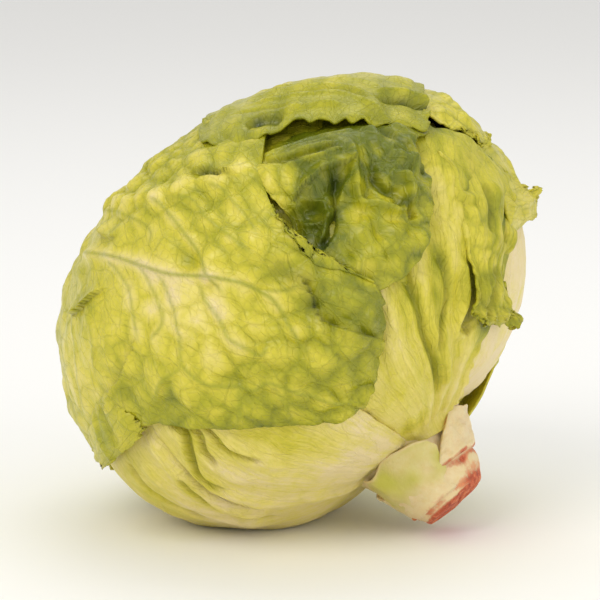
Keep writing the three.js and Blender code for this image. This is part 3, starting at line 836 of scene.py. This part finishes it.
backLeaf = {
    "lift": 1.2, "cells": (84, 90), "size": (120, 150), "green": 0.34, "tipGreen": 0.12, "marginGreen": 0.1,
    "blister": 0.8, "blisterFrom": (0.3, 0.6), "uneven": 1.0, "ragged": 0.04, "wave": 0.8,
    "ribs": 0.4, "ribCount": 5,
    "rows": [
        [(17, 142, -1), (17, 156, -1), (17, 172, -1), (17, 188, -1), (17, 202, -1)],
        [(44, 132), (44, 152), (44, 170), (44, 188), (44, 208)],
        [(70, 128), (70, 150), (70, 171), (70, 192), (70, 214)],
        [(96, 122), (98, 148), (99, 172), (98, 196), (96, 222)],
        [(122, 110), (128, 142), (130, 172), (128, 204), (122, 236)],
    ],
}

innerFrontLeaf = {
    "lift": -2.2, "cells": (110, 120), "size": (150, 170), "focus": (95, 15),
    "green": 0.66, "marginGreen": 0.1,
    "blister": 1.2, "blisterSize": (8, 9), "blisterFrom": (0.3, 0.5), "netVeins": 0.5, "uneven": 1.6,
    "crumple": 1.3, "ragged": 0.03, "wave": 0.8,
    "rows": [
        [(20, -50, -6), (20, -25, -6), (20, 0, -6), (20, 25, -6), (20, 50, -6)],
        [(45, -58), (45, -28), (45, 0), (45, 28), (45, 58)],
        [(75, -64), (75, -31), (75, 0), (75, 31), (75, 64)],
        [(105, -70), (105, -34), (105, 0), (105, 34), (105, 70)],
        [(136, -84), (146, -45), (152, 0), (146, 45), (136, 84)],
    ],
    "marks": [
        ("swell", -3.0, 7.0, (98, 18), (92, 16), (94, 9), (88, 10)),
        ("swell", 2.4, 3.2, (96, 22), (90, 18), (94, 12), (99, 14)),
        ("shade", 0.2, 8.0, (97, 18), (90, 13)),
        ("shade", 0.5, 7.0, (112, 30), (120, 24)),
    ],
}

innerBackLeaf = {
    "lift": -1.6, "cells": (60, 70), "size": (150, 170), "green": 0.4, "marginGreen": 0.1,
    "blister": 0.8, "blisterFrom": (0.3, 0.6), "uneven": 1.2, "ragged": 0.03, "wave": 0.6,
    "rows": [
        [(20, 130, -6), (20, 155, -6), (20, 180, -6), (20, 205, -6), (20, 230, -6)],
        [(45, 116), (45, 148), (45, 180), (45, 212), (45, 244)],
        [(75, 110), (75, 145), (75, 180), (75, 215), (75, 250)],
        [(105, 104), (105, 142), (105, 180), (105, 218), (105, 256)],
        [(136, 90), (146, 135), (152, 180), (146, 225), (136, 270)],
        [(158, 50, -3), (172, 60, -3), (178, 0, -3), (172, 300, -3), (158, 310, -3)],
    ],
}

leafPiece("frontLeaf", [frontLeaf, cornerFlap], greenFinish, 0.8, "leaf_front", 1)
leafPiece("topLeaf", [topLeaf, crumpledEnd], greenFinish, 0.8, "leaf_top", 2)
leafPiece("rightLeaf", [rightLeaf, rightFrill], paleFinish, 1.0, "leaf_right", 3)
leafPiece("farRightLeaf", [farRightLeaf], smoothFinish, 1.0, "leaf_far_right", 4)
leafPiece("backRightLeaf", [backRightLeaf, *tornTips], greenFinish, 0.8, "leaf_back_right", 5)
leafPiece("lowerFrontLeaf", [lowerFrontLeaf], paleFinish, 1.2, "leaf_lower_front", 6)
leafPiece("lowerLeaf", [lowerLeaf], paleFinish, 1.2, "leaf_lower", 7)
leafPiece("backLeaf", [backLeaf], greenFinish, 0.8, "leaf_back", 8)
leafPiece("innerFrontLeaf", [innerFrontLeaf], greenFinish, 0.8, "leaf_inner_front", 9)
leafPiece("innerBackLeaf", [innerBackLeaf], greenFinish, 0.8, "leaf_inner_back", 10)

# The tightly packed young leaves in the middle.
heart = {"lift": -6.5, "subdivisions": 6, "uneven": 1.5}


def heartPiece():
    mesh = bpy.data.meshes.new("heart")
    bm = bmesh.new()
    bmesh.ops.create_icosphere(bm, subdivisions=heart["subdivisions"], radius=1.0)
    bm.to_mesh(mesh)
    bm.free()
    flat = np.empty(len(mesh.vertices) * 3, np.float32)
    mesh.vertices.foreach_get("co", flat)
    towards = unit(flat.reshape(-1, 3).astype(float))
    globe = towards * head["meanRadius"]
    lift = heart["lift"] + heart["uneven"] * softNoise(globe, 22, 50)
    climb = np.degrees(np.arccos(np.clip(towards @ stemAxis, -1, 1)))
    lift = np.where(climb < head["neckFrom"], lift - (head["neckFrom"] - climb) ** 2 * head["neckRise"], lift)
    mesh.vertices.foreach_set("co", (onHead(towards, lift) * mm).astype(np.float32).ravel())
    paint = np.stack([np.full(len(globe), 0.3), np.zeros(len(globe)), np.zeros(len(globe))], axis=-1)
    for label, values in (("paint", paint), ("flow", globe)):
        layer = mesh.attributes.new(label, "FLOAT_VECTOR", "POINT")
        layer.data.foreach_set("vector", values.astype(np.float32).ravel())
    mesh.polygons.foreach_set("use_smooth", [True] * len(mesh.polygons))
    mesh.materials.append(paleFinish)
    piece = bpy.data.objects.new("heartPiece", mesh)
    bpy.context.scene.collection.objects.link(piece)
    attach(piece, "root")
    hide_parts("heart")
    print("heart:", len(mesh.polygons))


heartPiece()

# The cut stem: its radius goes with the distance from the head's centre along its axis.
stem = {
    "profile": [(46, 0.0), (47, 24.0), (54, 23.0), (60, 20.5), (66, 17.6), (72, 16.2), (77, 15.6), (80, 14.4),
                (82.4, 12.6), (83.8, 11.6), (84.5, 10.6), (84.9, 8.0), (85.2, 4.0), (85.3, 0.0)],
    "shift": (0.0, -1.6),
    "sides": 150,
    "rings": 140,
}


def alongStem(radial, around, height):
    centre = np.array(head["centre"])
    spread = (np.cos(around) * radial + stem["shift"][0])[..., None] * frontAxis
    spread = spread + (np.sin(around) * radial + stem["shift"][1])[..., None] * upperAxis
    points = centre + spread + height[..., None] * stemAxis
    points[..., 2] = np.maximum(points[..., 2], 0.3)
    return points


def stemFinish(name):
    s = Shader(name)
    paint = s.node("ShaderNodeAttribute", {"attribute_name": "paint"}, out="Vector")
    place = s.node("ShaderNodeTexCoord", {}, out="Object")
    rust = s.node("ShaderNodeSeparateXYZ", {}, paint, out=0)
    green = s.node("ShaderNodeSeparateXYZ", {}, paint, out=1)
    mottle = s.node("ShaderNodeTexNoise", {}, Vector=place, Scale=420.0, Detail=6.0, Roughness=0.7)
    clouds = s.node("ShaderNodeTexNoise", {}, Vector=place, Scale=110.0, Detail=3.0)
    grain = s.node("ShaderNodeTexNoise", {}, Vector=place, Scale=900.0, Detail=3.0)
    flesh = [(0.3, (0.80, 0.60, 0.30)), (0.7, (0.84, 0.70, 0.42))]
    base = s.node("ShaderNodeValToRGB", {"stops": flesh}, mottle)
    base = s.mix((green + 0.5 * (clouds - 0.5)).clamped(), base, (0.58, 0.55, 0.08))
    burnt = [(0.25, (0.26, 0.03, 0.01)), (0.5, (0.54, 0.10, 0.035)), (0.75, (0.74, 0.27, 0.11))]
    worn = s.node("ShaderNodeValToRGB", {"stops": burnt}, 1.5 * mottle + 0.5 * clouds - 0.5)
    mask = (rust + 1.3 * (mottle - 0.5) + 0.6 * (clouds - 0.5)).between(0.28, 0.78)
    base = s.mix(mask, base, worn)
    height = mottle + 0.4 * grain - 0.5 * mask
    bump = s.node("ShaderNodeBump", {}, Strength=0.7, Distance=0.0007, Height=height)
    s.set(Base_Color=base, Roughness=0.42 + 0.25 * mask, Normal=bump)
    s.set(Specular_IOR_Level=0.5, Subsurface_Weight=0.2, Subsurface_Scale=0.004)
    s.set(Subsurface_Radius=(1.0, 0.7, 0.35))
    return s.material


fleshFinish = stemFinish("stemFlesh")


def finishStemPart(name, mesh, points, paint, replaced):
    mesh.vertices.foreach_set("co", (points * mm).astype(np.float32).ravel())
    layer = mesh.attributes.new("paint", "FLOAT_VECTOR", "POINT")
    layer.data.foreach_set("vector", paint.astype(np.float32).ravel())
    mesh.polygons.foreach_set("use_smooth", [True] * len(mesh.polygons))
    bm = bmesh.new()
    bm.from_mesh(mesh)
    bmesh.ops.remove_doubles(bm, verts=bm.verts, dist=0.00002)
    bmesh.ops.recalc_face_normals(bm, faces=bm.faces)
    bm.to_mesh(mesh)
    bm.free()
    mesh.materials.append(fleshFinish)
    piece = bpy.data.objects.new(name, mesh)
    bpy.context.scene.collection.objects.link(piece)
    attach(piece, "root")
    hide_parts(replaced)
    print("stem part:", name)


def unitGrid(name, across, along):
    mesh = bpy.data.meshes.new(name)
    bm = bmesh.new()
    bmesh.ops.create_grid(bm, x_segments=across, y_segments=along, size=0.5)
    bm.to_mesh(mesh)
    bm.free()
    flat = np.empty(len(mesh.vertices) * 3, np.float32)
    mesh.vertices.foreach_get("co", flat)
    u, v = flat.reshape(-1, 3)[:, 0].astype(float) + 0.5, flat.reshape(-1, 3)[:, 1].astype(float) + 0.5
    return mesh, u, v


def stemPiece():
    mesh, u, v = unitGrid("stemPiece", stem["sides"], stem["rings"])
    around = u * 2 * math.pi
    turned = (np.degrees(around) + 180) % 360 - 180
    steps = np.cumsum([0] + [math.dist(a, b) for a, b in itertools.pairwise(stem["profile"])])
    height = np.interp(v, steps / steps[-1], [h for h, _ in stem["profile"]])
    radius = np.interp(v, steps / steps[-1], [r for _, r in stem["profile"]])
    ring = np.stack([np.cos(around) * 15, np.sin(around) * 15, height], axis=-1)
    rough = 0.9 * softNoise(ring, 9, 60) + 0.4 * softNoise(ring, 3.5, 61) + 0.2 * softNoise(ring, 1.2, 62)
    end = fade(height, 83.2, 84.4)
    radius = radius * (1 + 0.04 * rough)
    grooves = 1 - np.abs(softNoise(ring + 30, 4.0, 67)) * 2
    height = height + end * (0.7 * softNoise(ring, 7, 63) + 0.35 * grooves)
    scar = np.exp(-((height - 75 - 2.0 * softNoise(ring, 6, 68)) / 1.6) ** 2)
    side = fade(turned, 8, 30) * fade(160 - turned, 0, 30) + 0.35
    leafScar = np.exp(-((height - 82.6) / 1.5) ** 2)
    rust = end * (0.8 + 0.3 * grooves) + leafScar * (0.35 + 0.4 * softNoise(ring, 5, 65))
    rust = rust + scar * side * (0.5 + 0.4 * softNoise(ring, 4, 69))
    rust = rust + 0.4 * fade(height, 76, 80) * fade(turned, 15, 50) * fade(150 - turned, 0, 30)
    green = 0.35 * fade(softNoise(ring, 8, 66), 0.0, 0.8) * (1 - end)
    finishStemPart("stemPiece", mesh, alongStem(radius, around, height),
                   np.stack([rust, green, green * 0], axis=-1),
                   "stem")


# What is left of broken-off leaves: scales that grow from the cut end towards the head,
# with a free edge that stands off the leaves behind.
stubs = [
    {"name": "stubRight", "node": "stub_right", "rootAround": (8, 92), "edgeAround": (48, 118),
     "height": (74.5, 61.5),
     "radius": (16.2, 22.4), "thick": (4.0, 3.0), "slant": 0.0, "green": 0.0, "rust": 0.55, "seed": 71},
    {"name": "stubFront", "node": "stub_front", "rootAround": (-88, 16), "edgeAround": (-66, 24),
     "height": (82.0, 63.6),
     "radius": (13.0, 22.0), "thick": (2.6, 1.6), "slant": 0.06, "green": 0.8, "rust": 0.4, "seed": 72},
    {"name": "stubUnder", "node": "stub_under", "rootAround": (-150, -84), "edgeAround": (-160, -76),
     "height": (81.0, 67.0), "radius": (13.4, 18.6), "thick": (3.0, 2.0),
     "slant": 0.0, "green": 0.1, "rust": 0.5,
     "seed": 73},
]


def stubPiece(stub):
    # u goes round the closed section of the scale and v from its root to its free edge
    mesh, u, v = unitGrid(stub["name"], 104, 64)
    turn = u * 2 * math.pi
    closing = np.sqrt(np.clip(1 - (2 * v - 1) ** 12, 0, 1))
    inner, outer = np.cos(turn), np.sin(turn)
    low = np.interp(v, (0, 1), (stub["rootAround"][0], stub["edgeAround"][0]))
    high = np.interp(v, (0, 1), (stub["rootAround"][1], stub["edgeAround"][1]))
    share = 0.5 + 0.5 * np.sign(inner) * np.abs(inner) ** 0.6 * (1 - 0.18 * fade(v, 0.75, 1.0))
    around = np.radians(low + (high - low) * share)
    flat = np.stack([np.degrees(around) / 4, v * 18], axis=-1)
    height = stub["height"][0] + (stub["height"][1] - stub["height"][0]) * v
    height = height + fade(v, 0.6, 1.0) * (2.0 * softNoise(flat, 6, stub["seed"])
                                            + stub["slant"] * np.degrees(around))
    thick = np.interp(v, (0, 1), stub["thick"]) * closing
    radius = np.interp(v ** 1.4, (0, 1), stub["radius"]) + 0.5 * thick * np.sign(outer) * np.abs(outer) ** 0.5
    radius = radius + 0.5 * softNoise(flat, 4, stub["seed"] + 5) + 0.15 * softNoise(
        flat, 1.3, stub["seed"] + 6)
    rim = np.maximum(fade(v, 0.93, 1.0), fade(np.abs(inner), 0.97, 1.0))
    root = fade(0.12 - v, 0.0, 0.1)
    rust = stub["rust"] * (0.75 * rim + 1.2 * root) * (0.9 + 0.5 * softNoise(flat, 3, stub["seed"] + 8))
    radius = radius + 0.35 * np.sin(np.degrees(around) * 0.22
                                    + 2 * softNoise(flat, 5, stub["seed"] + 7)) * fade(v, 0.1, 0.5)
    green = stub["green"] * (0.8 + 0.7 * softNoise(flat, 5, stub["seed"] + 9)) * (1 - rim) * fade(v, 0.1, 0.6)
    finishStemPart(stub["name"], mesh, alongStem(radius, around, height),
                   np.stack([rust, green, rust * 0], axis=-1), stub["node"])


stemPiece()
for stub in stubs:
    stubPiece(stub)

# The camera looks level-ish from the front, and the head fills the frame.
camera = {"elevation": 10.0, "distance": 1000.0, "lens": 180.0, "sensor": 36.0, "aim": (1.33, 1.33)}


def placeCamera():
    rise = math.radians(camera["elevation"])
    right = Vector((1, 0, 0))
    up = Vector((0, math.sin(rise), math.cos(rise)))
    back = Vector((0, -math.cos(rise), math.sin(rise)))
    aim = Vector(head["centre"]) + camera["aim"][0] * right + camera["aim"][1] * up
    data = bpy.data.cameras.new("camera")
    data.lens, data.sensor_width = camera["lens"], camera["sensor"]
    data.clip_start, data.clip_end = 0.01, 20.0
    eye = bpy.data.objects.new("camera", data)
    eye.location = (aim + camera["distance"] * back) * mm
    eye.rotation_euler = (math.pi / 2 - rise, 0, 0)
    bpy.context.scene.collection.objects.link(eye)
    bpy.context.scene.camera = eye


placeCamera()

lights = [
    {"name": "keyLight", "at": (-0.7, -1.1, 1.2), "size": 0.9, "power": 9.4, "colour": (1.0, 0.97, 0.9)},
    {"name": "fillLight", "at": (1.2, -1.0, 0.7), "size": 1.2, "power": 4.6, "colour": (1.0, 0.98, 0.95)},
    {"name": "topLight", "at": (0.1, 0.5, 1.4), "size": 1.0, "power": 4.0, "colour": (1.0, 1.0, 1.0)},
]
for light in lights:
    data = bpy.data.lights.new(light["name"], "AREA")
    data.size, data.energy, data.color = light["size"], light["power"], light["colour"]
    lamp = bpy.data.objects.new(light["name"], data)
    lamp.location = light["at"]
    towardsHead = Vector((0.01, 0, 0.07)) - Vector(light["at"])
    lamp.rotation_euler = towardsHead.to_track_quat("-Z", "Y").to_euler()
    bpy.context.scene.collection.objects.link(lamp)

world = bpy.data.worlds.new("paleRoom")
world.use_nodes = True
world.node_tree.nodes["Background"].inputs["Color"].default_value = (1.0, 0.99, 0.97, 1)
world.node_tree.nodes["Background"].inputs["Strength"].default_value = 0.74
bpy.context.scene.world = world
bpy.context.scene.view_settings.view_transform = "Standard"

floorMesh = bpy.data.meshes.new("floor")
bm = bmesh.new()
bmesh.ops.create_grid(bm, x_segments=2, y_segments=2, size=6.0)
bm.to_mesh(floorMesh)
bm.free()
floor = bpy.data.objects.new("floor", floorMesh)
floorShader = Shader("floorPaint")
floorShader.set(Base_Color=(0.93, 0.93, 0.92, 1), Roughness=0.9)
floorMesh.materials.append(floorShader.material)
bpy.context.scene.collection.objects.link(floor)
print("stage ready")
